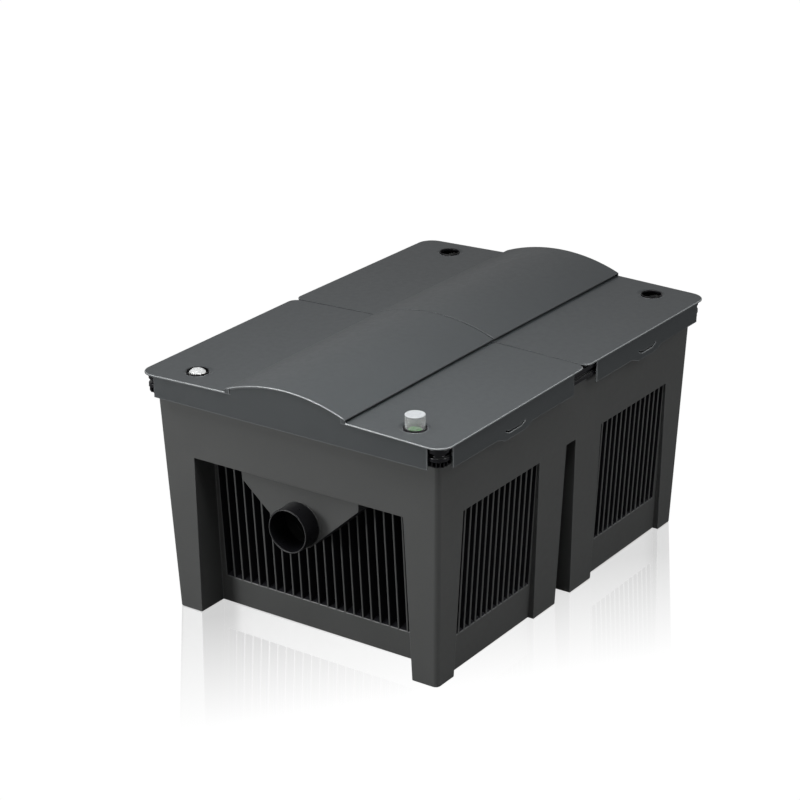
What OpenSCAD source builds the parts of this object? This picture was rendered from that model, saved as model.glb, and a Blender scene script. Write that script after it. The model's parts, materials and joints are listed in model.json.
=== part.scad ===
// Two-chamber pond filter box: a twin-basin tub under two lift-off lids, with a pipe stub at each end.
// Frame: origin at the centre of the base, X across the width, Y along the length, Z up.
// The inlet end, with the indicator and the thermometer, faces -Y. All sizes are in millimetres.

/* [Overall] */
// Length over the two lids, along Y
lid_l = 780; // [778:0.5:782]
// Width over the lids, along X
lid_w = 553; // [551:0.5:555]
// Height of the lids' outer corners
lid_z = 397; // [396.5:0.1:397.5]

/* [Tub] */
// Half width of the tub across X at the floor
base_x = 243.5; // [243:0.1:244]
// Half length of the tub along Y at the floor
base_y = 354.5; // [354:0.1:355]
// Outward lean of the long faces, per millimetre of height
draft_x = 0.0371; // [0.034:0.0005:0.039]
// Outward lean of the short faces, per millimetre of height
draft_y = 0.0445; // [0.042:0.0005:0.047]
// Radius of the tub's upright corners
tub_corner_r = 8; // [6:0.5:10]
// Thickness of the moulded walls
wall = 4; // [3.5:0.1:4.5]
// Thickness of the basin floors
floor_t = 5; // [4:0.5:6]
// Height of the ledge where the basins widen to the upper band
ledge_z = 274; // [273:0.5:276]
// Top of the tub's rim
rim_z = 392; // [391:0.5:392.5]

/* [Ribbed panels] */
// Top of the end recesses
end_top = 267; // [265:0.5:268]
// Number of slots across an end recess
end_slots = 25; // [21:2:27]
// Distance from one end fin to the next
end_pitch = 16.4; // [14.5:0.1:16.4]
// Width of an end fin's edge
end_fin = 3; // [2.5:0.1:4]
// Depth of the slots between the fins
slot_deep = 18; // [12:1:19]
// Top of the side panels
side_top = 268; // [266:0.5:269]
// Number of slots in each side panel
side_slots = 14; // [12:1:14]
// Distance from one side fin to the next
side_pitch = 15.2; // [13:0.1:15.2]
// Width of a side fin's edge
side_fin = 4; // [3:0.1:5]

/* [Pipe stubs] */
// Height of the stubs' centre line
stub_z = 203; // [201:0.5:205]
// Outer radius of the inlet stub
inlet_r = 35; // [34.5:0.1:35.5]
// Bore radius of the inlet stub
inlet_bore_r = 32; // [31.8:0.1:32.2]
// Outer radius of the outlet stub
outlet_r = 37.5; // [37:0.1:37.5]
// Bore radius of the outlet stub
outlet_bore_r = 34; // [33.8:0.1:34.2]
// Distance of a stub's mouth from the middle of the box
stub_end = 389; // [386:0.5:390]

/* [Lids] */
// Thickness of the lid plates
lid_t = 3; // [2.6:0.1:3.2]
// Rise of a lid plate from its long edge to the centre line
pitch_rise = 7.4; // [6.5:0.1:8]
// Rise of the lids from the ends to the middle seam
crown_rise = 2.15; // [1.8:0.05:2.4]
// Half width of the raised hump
hump_half = 109.5; // [108:0.5:111]
// Height of the hump's crest at the ends of the box
hump_z = 427.3; // [426:0.1:428]
// Radius of the hump's arc
hump_r = 296; // [293:1:300]
// Lower edge of the lid skirts
skirt_z = 361; // [360:0.5:362]
// How far the plate edge stands out past the skirt
lip = 2.5; // [2:0.1:3]
// Radius of the holes over the instruments
hole_r = 16.2; // [16:0.1:16.5]
// Distance of the instrument holes from the centre line, along X
hole_x = 198; // [197:0.5:199]
// Distance of the instrument holes from the middle, along Y
hole_y = 343; // [342:0.5:344]

/* [Foam cleaning gear] */
// Lower face of the lowest foam
foam_z0 = 30; // [29:0.5:31]
// Upper face of the highest foam
foam_z1 = 256; // [250:0.5:256]
// Distance of the pull rods from the centre line
rod_x = 75; // [70:1:78]
// Radius of a pull rod
rod_r = 5; // [4:0.25:5.5]
// Top of the pull handle at rest
handle_z = 330; // [328:0.5:332]

/* [Drain valves] */
// Height of the drain bores
drain_z = 30; // [29.5:0.1:30.5]
// Bore radius of a drain valve
drain_r = 14; // [13:0.1:14]
// Distance of the drain valves from the middle, along Y
drain_y = 198; // [196:0.5:200]

/* [Hidden] */
$fn = 64;
eps = 0.01;
reach = 600;

// Colours
tub_grey = [0.17, 0.18, 0.18];
lid_grey = [0.24, 0.26, 0.27];
black = [0.06, 0.06, 0.07];
steel = [0.75, 0.76, 0.78];
blue_foam = [0.16, 0.33, 0.62];
red_foam = [0.66, 0.16, 0.13];
white = [0.93, 0.93, 0.9];
green = [0.25, 0.7, 0.35];
clear = [0.85, 0.9, 0.92, 0.4];

// Faces of the tub, as distances from its middle at height z
function face_x(z) = base_x + draft_x * z;
function face_y(z) = base_y + draft_y * z;
// Planes that hold the fins' edges
side_inset = 10.2;
side_draft = 0.058;
end_inset = 54.1;
end_draft = 0.07;
function fin_x(z) = base_x - side_inset + side_draft * z;
function fin_y(z) = base_y - end_inset + end_draft * z;
// Faces of the two basins' hollows
function hollow_x(z) = 208 + 0.05 * z;
function hollow_y(z) = 278 + 0.06 * z;
// Half width of the wedge-shaped gap between the basins
gap_top = 269.5;
function gap_y(z) = 22.8 - 0.0345 * z;

// ---------- Shared shapes ----------

// Extrudes an outline of (x, z) points along Y
module along_y(y0, y1) {
    translate([0, y1, 0])
        rotate([90, 0, 0])
            linear_extrude(y1 - y0)
                children();
}

// Extrudes an outline of (y, z) points along X
module along_x(x0, x1) {
    translate([x0, 0, 0])
        rotate([90, 0, 90])
            linear_extrude(x1 - x0)
                children();
}

// Solid with one outline seen along Y and another seen along X
module crossed(xz, yz) {
    intersection() {
        along_y(-reach, reach)
            polygon(xz);
        along_x(-reach, reach)
            polygon(yz);
    }
}

// Four-sided outline from z0 to z1: a0..b0 wide at its foot and a1..b1 at its top
function leaning(a0, b0, a1, b1, z0, z1) = [[a0, z0], [b0, z0], [b1, z1], [a1, z1]];

// Box given by its corners
module span(x0, x1, y0, y1, z0, z1) {
    translate([x0, y0, z0])
        cube([x1 - x0, y1 - y0, z1 - z0]);
}

// Flat outline of a rectangle with round corners, by its half sizes
module rounded(hx, hy, r) {
    square([2 * (hx - r), 2 * hy], center = true);
    square([2 * hx, 2 * (hy - r)], center = true);
    for (sx = [-1, 1], sy = [-1, 1])
        translate([sx * (hx - r), sy * (hy - r)])
            circle(r);
}

// The same outline raised from z0 to z1
module rounded_slab(hx, hy, r, z0, z1) {
    translate([0, 0, z0])
        linear_extrude(z1 - z0)
            rounded(hx, hy, r);
}

module on_four_corners() {
    for (sx = [0, 1], sy = [0, 1])
        mirror([sx, 0, 0])
            mirror([0, sy, 0])
                children();
}

module on_both_ends() {
    for (side = [0, 1])
        mirror([0, side, 0])
            children();
}

module on_both_sides() {
    for (side = [0, 1])
        mirror([side, 0, 0])
            children();
}

// Cylinder along Y from y0 to y1, centred at (x, z)
module rod_along_y(x, z, r, y0, y1) {
    translate([x, y1, z])
        rotate([90, 0, 0])
            cylinder(r = r, h = y1 - y0);
}

// Cylinder along X from x0 to x1, centred at (y, z)
module rod_along_x(y, z, r, x0, x1) {
    translate([x0, y, z])
        rotate([0, 90, 0])
            cylinder(r = r, h = x1 - x0);
}

// Cylinder along Z from z0 to z1, centred at (x, y)
module post(x, y, r, z0, z1) {
    translate([x, y, z0])
        cylinder(r = r, h = z1 - z0);
}

// ---------- Tub ----------

// One ring of the tub's leaning outer skin, with round corners, at height z
corner_steps = 5;
function skin_ring(z) = [
    for (q = [0 : 3], i = [0 : corner_steps])
        let (a = 90 * q + 90 * i / corner_steps,
             sx = (q == 0 || q == 3) ? 1 : -1,
             sy = (q < 2) ? 1 : -1)
        [sx * (face_x(z) - tub_corner_r) + tub_corner_r * cos(a),
         sy * (face_y(z) - tub_corner_r) + tub_corner_r * sin(a), z]];

module tub_skin() {
    count = 4 * (corner_steps + 1);
    polyhedron(
        points = concat(skin_ring(0), skin_ring(rim_z)),
        faces = concat(
            [[for (i = [0 : count - 1]) i]],
            [[for (i = [count - 1 : -1 : 0]) count + i]],
            [for (i = [0 : count - 1]) [i, count + i, count + (i + 1) % count, (i + 1) % count]]));
}

// Rolled rim: two beads with a groove between them and webs below, out to the lid skirts
rim_x = lid_w / 2 - 7;
rim_y = lid_l / 2 - 7;
rim_corner_r = 16;
bead_low = 373;
bead_mid = 379.5;
bead_high = 385;
groove = 5;
module rim_beads() {
    rounded_slab(rim_x, rim_y, rim_corner_r, bead_high, rim_z);
    rounded_slab(rim_x - groove, rim_y - groove, rim_corner_r - groove, bead_mid - eps, bead_high + eps);
    rounded_slab(rim_x, rim_y, rim_corner_r, bead_low, bead_mid);
}

// Webs under the beads in each corner: some on each face and a fan of them round the corner
web_t = 2;
web_foot = 360.5;
web_edge = 365;
web_in = 1;
web_xs = [232, 244, 252.5];
web_ys = [345, 357, 366];
web_angles = [22, 45, 68];
module web(inner, outer) {
    along_y(-web_t / 2, web_t / 2)
        polygon([[inner, web_foot], [inner + wall + 1, web_foot], [outer, web_edge],
                 [outer, bead_low + eps], [inner, bead_low + eps]]);
}

module rim_webs() {
    on_four_corners() {
        for (y = web_ys)
            translate([0, y, 0])
                web(face_x(web_foot) - wall, rim_x - web_in);
        for (x = web_xs)
            translate([x, 0, 0])
                rotate([0, 0, 90])
                    web(face_y(web_foot) - wall, rim_y - web_in);
        for (a = web_angles)
            translate([rim_x - rim_corner_r, rim_y - rim_corner_r, 0])
                rotate([0, 0, a])
                    web(-3, rim_corner_r - web_in);
    }
}

// Snap catches behind the tongues of the lid skirts
catch_y = 195.5;
catch_half = 22;
catch_low = 355;
catch_high = 363.5;
module rim_catches() {
    on_four_corners()
        along_y(catch_y - catch_half, catch_y + catch_half)
            polygon([[face_x(catch_low) - wall, catch_low], [face_x(catch_low) + 1, catch_low],
                     [rim_x + 1, catch_high - 3], [rim_x + 1, catch_high],
                     [face_x(catch_low) - wall, catch_high]]);
}

// Pocket of an end recess, between the legs
end_half_low = 198.5;
end_half_top = 192;
end_foot = 46;
module end_recess() {
    crossed(leaning(-end_half_low, end_half_low, -end_half_top, end_half_top, -1, end_top),
            leaning(fin_y(-1), reach / 1.2, fin_y(end_top), reach / 1.2, -1, end_top));
}

// Slots between the fins of an end recess; their floors slope outwards
module end_fin_slots() {
    for (i = [0 : end_slots - 1])
        let (x = (i - (end_slots - 1) / 2) * end_pitch,
             edge = end_half_top - 1,
             x0 = max(x - (end_pitch - end_fin) / 2, -edge),
             x1 = min(x + (end_pitch - end_fin) / 2, edge))
            if (x1 - x0 > 3)
                along_x(x0, x1)
                    polygon([[fin_y(end_foot) - slot_deep, end_foot + 6], [fin_y(end_foot) + 1, end_foot],
                             [fin_y(end_top) + 1, end_top], [fin_y(end_top) - slot_deep, end_top]]);
}

// Pocket of one side panel
panel_near_low = 87;
panel_near_top = 92;
panel_far_low = 310;
panel_far_top = 301;
side_foot = 60;
side_slot_deep = 18;
module side_recess() {
    crossed(leaning(fin_x(-1), reach / 1.2, fin_x(side_top), reach / 1.2, -1, side_top),
            leaning(panel_near_low, panel_far_low, panel_near_top, panel_far_top, -1, side_top));
}

// Slots between the fins of a side panel
module side_fin_slots() {
    middle = (panel_near_top + panel_far_top) / 2;
    for (i = [0 : side_slots - 1])
        let (y = middle + (i - (side_slots - 1) / 2) * side_pitch,
             half = (side_pitch - side_fin) / 2,
             y0 = max(y - half, panel_near_top + 1),
             y1 = min(y + half, panel_far_top - 1))
            along_y(y0, y1)
                polygon([[fin_x(side_foot) - side_slot_deep, side_foot + 6],
                         [fin_x(side_foot) + 1, side_foot], [fin_x(side_top) + 1, side_top],
                         [fin_x(side_top) - side_slot_deep, side_top]]);
}

// Hopper behind a stub: broad under the upper band and narrowing down to the pipe
hopper_inset = 8;
hopper_outline = [[-109, end_top + 1], [-107, 250], [-14, 166], [14, 166], [107, 250], [109, end_top + 1]];
hopper_hollow = [[-104, ledge_z + 1], [-102, 252], [-12, 171], [12, 171], [102, 252], [104, ledge_z + 1]];
module hopper_body() {
    crossed(hopper_outline,
            leaning(hollow_y(0) - 20, face_y(0) - hopper_inset, hollow_y(0) - 20,
                    face_y(end_top) - hopper_inset, 0, end_top + 1));
}

module hopper_cavity() {
    crossed(hopper_hollow,
            leaning(hollow_y(0) - 20, face_y(0) - hopper_inset - wall, hollow_y(0) - 20,
                    face_y(ledge_z) - hopper_inset - wall, 0, ledge_z + 1));
}

// Space between two heights that leans along X from low to top half widths and along Y between two faces
module cavity(x_low, x_top, near_low, near_top, far_low, far_top, z1) {
    crossed(leaning(-x_low, x_low, -x_top, x_top, floor_t, z1),
            leaning(near_low, far_low, near_top, far_top, floor_t, z1));
}

// Hollow of the basin on the +Y side, with its bulges into the two plinths and the mid legs
module basin_hollow() {
    side_top_z = side_foot - wall;
    end_top_z = end_foot - wall;
    rim = ledge_z + 1;
    near_low = gap_y(0) + wall;
    near_top = gap_y(ledge_z) + wall;
    cavity(hollow_x(floor_t), hollow_x(ledge_z), near_low, near_top,
           hollow_y(floor_t), hollow_y(ledge_z), rim);
    cavity(face_x(floor_t) - wall, face_x(ledge_z) - wall, near_low, near_top,
           panel_near_low - wall, panel_near_top - wall, rim);
    cavity(fin_x(floor_t) - wall, fin_x(side_foot) - wall, panel_near_low, panel_near_top,
           hollow_y(floor_t), hollow_y(side_foot), side_top_z);
    cavity(hollow_x(floor_t), hollow_x(end_foot), near_low + wall, near_low + wall,
           fin_y(floor_t) - wall, fin_y(end_foot) - wall, end_top_z);
}

// Hollow of a corner leg, open to the upper band
module leg_hollow() {
    crossed(leaning(end_half_low + wall, face_x(floor_t) - wall,
                    end_half_top + wall, face_x(ledge_z) - wall, floor_t, ledge_z + 1),
            leaning(panel_far_low + wall, face_y(floor_t) - wall,
                    panel_far_top + wall, face_y(ledge_z) - wall, floor_t, ledge_z + 1));
}

module band_hollow() {
    crossed(leaning(-face_x(ledge_z) + wall, face_x(ledge_z) - wall, -face_x(rim_z + 1) + wall,
                    face_x(rim_z + 1) - wall, ledge_z, rim_z + 1),
            leaning(-face_y(ledge_z) + wall, face_y(ledge_z) - wall, -face_y(rim_z + 1) + wall,
                    face_y(rim_z + 1) - wall, ledge_z, rim_z + 1));
}

// Wedge-shaped gap between the basins, right through the width
module basin_gap() {
    along_x(-reach / 2, reach / 2)
        polygon(leaning(-gap_y(-1), gap_y(-1), -gap_y(gap_top), gap_y(gap_top), -1, gap_top));
}

// Flat pads round the drain bores, outside and inside
spigot_r = 17;
spigot_play = 0.3;
pad_x = 239;
pad_inner_x = 226;
pad_half = 33;
pad_top = 62;
module drain_pads() {
    on_both_ends()
        span(-pad_x, -fin_x(0) + wall / 2, drain_y - pad_half, drain_y + pad_half, 0, pad_top);
}

// Flat pad inside each basin for the valve's lock nut
module nut_pads() {
    on_both_ends()
        difference() {
            span(-fin_x(0) + wall / 2, -pad_inner_x, drain_y - pad_half + 2, drain_y + pad_half - 2,
                 floor_t - 1, side_foot - wall + 1);
            rod_along_x(drain_y, drain_z, spigot_r + spigot_play, -reach / 2, 0);
        }
}

module drain_holes() {
    on_both_ends()
        rod_along_x(drain_y, drain_z, spigot_r + spigot_play, -reach / 2, -pad_inner_x + 1);
}

// Screw positions on the ledge, for the top grids and for the instrument stands
screw_r = 2;
pilot_r = 2.1;
grid_screw_x = 238;
grid_screw_ys = [112, 172];
stand_screw_x = 158;
stand_screw_ys = [326, 350];
pilot_deep = 5;
module ledge_pilots() {
    on_four_corners()
        for (y = grid_screw_ys)
            post(grid_screw_x, y, pilot_r, ledge_z - pilot_deep, ledge_z + 1);
    on_both_sides()
        for (y = stand_screw_ys)
            post(stand_screw_x, -y, pilot_r, ledge_z - pilot_deep, ledge_z + 1);
}

// Pipe stub: a tube right through the hopper's face with a low collar at its root
stub_inner = 349;
collar_y0 = 352;
collar_y1 = 357.4;
stub_step = 1;
module stub_tube(r, bore) {
    difference() {
        union() {
            rod_along_y(0, stub_z, r - stub_step, stub_inner, collar_y0 + 1);
            rod_along_y(0, stub_z, r + stub_step, collar_y0, collar_y1);
            rod_along_y(0, stub_z, r, collar_y1 - 1, stub_end);
        }
        rod_along_y(0, stub_z, bore, stub_inner - 1, stub_end + 1);
    }
}

// Room for a stub in the hopper's face
module stub_hole(r, bore) {
    rod_along_y(0, stub_z, (r - stub_step + bore) / 2, stub_inner - 20, stub_end + 1);
}

module tub_shell() {
    difference() {
        union() {
            difference() {
                tub_skin();
                on_both_ends()
                    difference() {
                        union() {
                            end_recess();
                            end_fin_slots();
                        }
                        hopper_body();
                    }
                on_four_corners() {
                    side_recess();
                    side_fin_slots();
                }
                basin_gap();
            }
            rim_beads();
            rim_webs();
            rim_catches();
            drain_pads();
        }
        on_both_ends() {
            basin_hollow();
            hopper_cavity();
        }
        mirror([0, 1, 0])
            stub_hole(inlet_r, inlet_bore_r);
        stub_hole(outlet_r, outlet_bore_r);
        on_four_corners()
            leg_hollow();
        band_hollow();
        drain_holes();
        ledge_pilots();
    }
}

module tub() {
    color(tub_grey) {
        tub_shell();
        mirror([0, 1, 0])
            stub_tube(inlet_r, inlet_bore_r);
        stub_tube(outlet_r, outlet_bore_r);
        nut_pads();
    }
}

// ---------- Lids ----------

half_w = lid_w / 2;
half_l = lid_l / 2;
seam = 1.25;
seam_y = 2;
crown_tilt = atan(crown_rise / half_l);
// Height of the plate's top at a distance x from the centre line, at the ends of the box
function plate_z(x) = lid_z + pitch_rise * (1 - x / half_w);
function hump_top(x) = hump_z - hump_r + sqrt(hump_r * hump_r - x * x);
hump_edge = 1.6;
undercut_in = 5.5;
undercut_out = 2.5;
undercut_drop = 0.8;
arc_steps = 24;

// Outline of the lid's top surface, closed below at z0 and lowered by drop
function lid_outline(drop, z0, half) = concat(
    [[-half_w - 5, z0], [-half_w - 5, plate_z(half_w + 5) - drop], [-half, plate_z(half) - drop]],
    [for (i = [-arc_steps : arc_steps])
        let (x = half * i / arc_steps)
        [x, hump_top(x) - drop]],
    [[half, plate_z(half) - drop], [half_w + 5, plate_z(half_w + 5) - drop], [half_w + 5, z0]]);

// Solid under the lid's top surface, rising gently to the middle seam on the -Y side
module lid_mass(drop, z0, half) {
    translate([0, -half_l, 0])
        rotate([crown_tilt, 0, 0])
            along_y(-20, half_l + 40)
                polygon(lid_outline(drop, z0, half));
}

// Plan outline of one lid on the -Y side: large corners outside, small ones at the seam
outer_r = 26;
seam_r = 15;
module lid_plan(grow, y_end) {
    hx = half_w + grow;
    y0 = -half_l - grow;
    for (s = [-1, 1]) {
        translate([s * (hx - outer_r), y0 + outer_r])
            circle(outer_r);
        translate([s * (hx - seam_r), y_end - seam_r])
            circle(seam_r);
    }
    translate([-hx + outer_r, y0])
        square([2 * (hx - outer_r), outer_r + 1]);
    translate([-hx, y0 + outer_r])
        square([2 * hx, y_end - seam_r - y0 - outer_r]);
    translate([-hx + seam_r, y_end - seam_r - 1])
        square([2 * (hx - seam_r), seam_r + 1]);
}

// Undercut along the foot of the hump, a dark groove between the hump and the plate
undercut_start = 5;
module hump_undercut() {
    low = plate_z(hump_half + undercut_out) - undercut_drop;
    high = hump_top(hump_half) - hump_edge;
    on_both_sides()
        translate([0, -half_l, 0])
            rotate([crown_tilt, 0, 0])
                along_y(undercut_start, half_l + 20)
                    polygon([[hump_half - undercut_in, low], [hump_half + undercut_out, low],
                             [hump_half + undercut_out, high - 1], [hump_half + 0.5, high],
                             [hump_half - undercut_in, high]]);
}

// Raised collar round each instrument hole, in a shallow groove
collar_r = 17.6;
collar_up = 1.2;
groove_r = 23.5;
groove_deep = 1.6;
groove_flare = 2.4;
hole_z = plate_z(hole_x) + crown_rise * (1 - hole_y / half_l);
module hole_collar() {
    post(hole_x, -hole_y, collar_r, hole_z - lid_t / 2, hole_z + collar_up);
}

module hole_groove() {
    translate([hole_x, -hole_y, hole_z - groove_deep])
        difference() {
            cylinder(r1 = groove_r - groove_flare * groove_deep, r2 = groove_r + groove_flare * groove_deep,
                     h = 2 * groove_deep);
            translate([0, 0, -1])
                cylinder(r = collar_r - eps, h = 4 * groove_deep);
        }
}

skirt_t = 3;
skirt_end_x = 248;
skirt_end_y = 360;
// Slots and tongues for the snap catches: a slot turned up at its ends, in (y, z) from the catch's middle
slot_outline = [[-25.5, 370.2], [-16.5, 366.3], [16.5, 366.3], [25.5, 370.2],
                [26.5, 368.2], [17, 364], [-17, 364], [-26.5, 368.2]];
tongue_outline = [[-50, skirt_z + 1], [-28, 353.5], [28, 353.5], [50, skirt_z + 1]];

// One lid on the -Y side; y_end is where its plate stops and skirt_stop where its side skirts stop
module lid_shell(y_end, skirt_stop) {
    difference() {
        union() {
            // Plate and hump
            difference() {
                intersection() {
                    lid_mass(0, 380, hump_half);
                    translate([0, 0, 380])
                        linear_extrude(80)
                            lid_plan(0, y_end);
                }
                lid_mass(lid_t, 370, hump_half - undercut_in - lid_t);
            }
            // Skirt round the three outer sides
            intersection() {
                difference() {
                    translate([0, 0, skirt_z])
                        linear_extrude(80)
                            lid_plan(-lip, 60);
                    translate([0, 0, skirt_z - 1])
                        linear_extrude(82)
                            lid_plan(-lip - skirt_t, 61);
                }
                lid_mass(lid_t / 2, skirt_z - 5, hump_half);
                union() {
                    span(-skirt_end_x, skirt_end_x, -half_l, -half_l + 20, skirt_z, 460);
                    on_both_sides()
                        span(half_w - 20, half_w, -skirt_end_y, skirt_stop, skirt_z, 460);
                }
            }
            on_both_sides() {
                // Finger tongue under the catch slot
                translate([0, -catch_y, 0])
                    along_x(half_w - lip - skirt_t, half_w - lip)
                        polygon(tongue_outline);
                hole_collar();
            }
        }
        hump_undercut();
        on_both_sides() {
            translate([0, -catch_y, 0])
                along_x(half_w - 20, half_w + 1)
                    polygon(slot_outline);
            hole_groove();
            post(hole_x, -hole_y, hole_r, 380, 410);
        }
    }
}
front_end = seam_y - seam;
rear_end = -seam_y - seam;
front_skirt_stop = -30;
rear_skirt_stop = -37;
module front_lid() {
    color(lid_grey)
        lid_shell(front_end, front_skirt_stop);
}

module rear_lid() {
    color(lid_grey)
        mirror([0, 1, 0])
            lid_shell(rear_end, rear_skirt_stop);
}

// ---------- Water guides ----------

// Plate that turns the incoming water down towards the floor, with arches along its foot
baffle_y = 213;
baffle_t = 4;
baffle_top = 250;
arch_half = 50;
arch_pitch = 130;
arch_z = 70;
module inlet_baffle() {
    play = 2;
    color(black)
        difference() {
            along_y(-baffle_y - baffle_t, -baffle_y)
                polygon(leaning(-hollow_x(floor_t) + play, hollow_x(floor_t) - play,
                                -hollow_x(baffle_top) + play, hollow_x(baffle_top) - play,
                                floor_t, baffle_top));
            for (i = [-1 : 1]) {
                span(i * arch_pitch - arch_half, i * arch_pitch + arch_half, -baffle_y - baffle_t - 1,
                     -baffle_y + 1, floor_t - 1, arch_z);
                rod_along_y(i * arch_pitch, arch_z, arch_half / 2, -baffle_y - baffle_t - 1, -baffle_y + 1);
            }
        }
}

// Slotted strainer plugged into the outlet stub from inside
strainer_r = 29;
strainer_wall = 3;
strainer_y0 = 274;
strainer_y1 = 340;
module outlet_screen() {
    color(black)
        difference() {
            union() {
                rod_along_y(0, stub_z, strainer_r, strainer_y0, strainer_y1 + 1);
                rod_along_y(0, stub_z, outlet_bore_r - 0.2, strainer_y1, strainer_y1 + 36);
            }
            rod_along_y(0, stub_z, strainer_r - strainer_wall, strainer_y0 + strainer_wall, strainer_y1 + 40);
            for (i = [0 : 7], a = [0 : 45 : 135])
                translate([0, strainer_y0 + 10 + 7 * i, stub_z])
                    rotate([0, a + 22.5, 0])
                        cube([2 * strainer_r + 4, 3.5, 14], center = true);
        }
}

// Open basket for the biological media, after the rear foams
basket_x = 178;
basket_y0 = 194;
basket_y1 = 266;
basket_z0 = 20;
basket_z1 = 146;
basket_t = 3;
basket_foot = 20;
window_pitch = 13.5;
window_half = 4;
window_low = [32, 78];
window_high = [86, 134];
module basket_window(i, y0, y1, z0, z1) {
    span(i * window_pitch - window_half, i * window_pitch + window_half, y0, y1, z0, z1);
}

module media_basket() {
    color(black)
        difference() {
            span(-basket_x, basket_x, basket_y0, basket_y1, floor_t, basket_z1);
            span(-basket_x + basket_t, basket_x - basket_t, basket_y0 + basket_t, basket_y1 - basket_t,
                 basket_z0 + basket_t, basket_z1 + 1);
            // Space under the basket's floor, between its end feet
            span(-basket_x + basket_foot, basket_x - basket_foot, basket_y0 - 1, basket_y1 + 1,
                 floor_t - 1, basket_z0);
            for (i = [-12 : 12]) {
                basket_window(i, basket_y0 - 1, basket_y1 + 1, window_low[0], window_low[1]);
                basket_window(i, basket_y0 - 1, basket_y1 + 1, window_high[0], window_high[1]);
                basket_window(i, basket_y0 + 8, basket_y1 - 8, basket_z0 - 1, basket_z0 + basket_t + 1);
            }
        }
}

// Plastic rings with a cross inside, in three layers
ring_outer = 15.5;
ring_bore = 13.5;
ring_h = 36;
ring_step = 34.4;
module bio_media() {
    color(black)
        for (i = [0 : 9], j = [0 : 1], k = [0 : 2])
            translate([(i - 4.5) * ring_step, (basket_y0 + basket_y1) / 2 + (j - 0.5) * 33,
                       basket_z0 + basket_t + 1 + k * (ring_h + 1)])
                difference() {
                    cylinder(r = ring_outer, h = ring_h);
                    difference() {
                        translate([0, 0, -1])
                            cylinder(r = ring_bore, h = ring_h + 2);
                        cube([2 * ring_outer, 1.6, 3 * ring_h], center = true);
                        cube([1.6, 2 * ring_outer, 3 * ring_h], center = true);
                    }
                }
}

// ---------- Foam stages: built on the -Y side and mirrored for the rear basin ----------

stage_y0 = -182;
stage_y1 = -31;
stage_y = (stage_y0 + stage_y1) / 2;
stage_x = 196;
press_z0 = 22;
press_z1 = foam_z0 - 1;

module at_rods() {
    for (s = [-1, 1])
        translate([s * rod_x, stage_y, 0])
            children();
}

// Standing grid that carries the press plate off the floor
module floor_grid() {
    color(black)
        difference() {
            union() {
                span(-stage_x, stage_x, stage_y0, stage_y1, 16, press_z0 - 0.5);
                for (x = [-180, -60, 60, 180], y = [stage_y0 + 12, stage_y1 - 12])
                    post(x, y, 7, floor_t, 17);
            }
            for (i = [-8 : 8])
                if (abs(abs(i * 21) - rod_x) > 20)
                    span(i * 21 - 6, i * 21 + 6, stage_y0 + 22, stage_y1 - 22, 10, press_z0 + 1);
            at_rods()
                cylinder(r = 15, h = press_z0 + 1);
        }
}

// Moving plate under the foams, with a collar round each rod
module press_plate() {
    color(black)
        difference() {
            union() {
                span(-stage_x + 1, stage_x - 1, stage_y0 + 1, stage_y1 - 1, press_z0, press_z1);
                at_rods()
                    translate([0, 0, press_z0])
                        cylinder(r = 8, h = press_z1 - press_z0 + 14);
            }
            for (i = [-11 : 11])
                if (abs(abs(i * 16) - rod_x) > 15)
                    for (y = [stage_y0 + 10, stage_y + 4])
                        span(i * 16 - 5, i * 16 + 5, y, y + 62, press_z0 - 1, press_z1 + 1);
            at_rods()
                cylinder(r = rod_r + 0.05, h = 100);
        }
}

rod_z0 = 8;
rod_z1 = handle_z - 6;
module pull_rods() {
    color(steel)
        at_rods()
            translate([0, 0, rod_z0])
                cylinder(r = rod_r, h = rod_z1 - rod_z0);
}

nut_r = 9;
module rod_nuts() {
    color(steel)
        at_rods()
            translate([0, 0, 12])
                difference() {
                    cylinder(r = nut_r, h = press_z0 - 12, $fn = 6);
                    translate([0, 0, -1])
                        cylinder(r = rod_r + 0.05, h = press_z0);
                }
}

// Bow handle over both rods
handle_drop = 18;
handle_half = 11;
boss_r = 10;
scallop_pitch = 26;
scallop_r = 12;
module pull_handle() {
    color(red_foam)
        difference() {
            union() {
                translate([0, stage_y, handle_z - handle_drop])
                    rounded_slab(rod_x + handle_half + 1, handle_half, boss_r, 0, handle_drop);
                at_rods()
                    translate([0, 0, handle_z - handle_drop - 14])
                        cylinder(r = boss_r, h = 16);
            }
            at_rods()
                cylinder(r = rod_r + 0.05, h = rod_z1 + 0.1);
            // Finger scallops along the underside
            for (i = [-1.5 : 1.5])
                rod_along_y(i * scallop_pitch, handle_z - handle_drop - scallop_r / 2, scallop_r,
                            stage_y - 20, stage_y + 20);
        }
}

// Foam block number i of three, counted from the floor
foam_step = (foam_z1 - foam_z0) / 3;
module foam_block(i, tint) {
    color(tint)
        difference() {
            span(-stage_x + 3, stage_x - 3, stage_y0 + 3, stage_y1 - 3,
                 foam_z0 + i * foam_step + 0.5, foam_z0 + (i + 1) * foam_step - 0.5);
            at_rods()
                cylinder(r = 9, h = foam_z1 + 1);
        }
}

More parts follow.
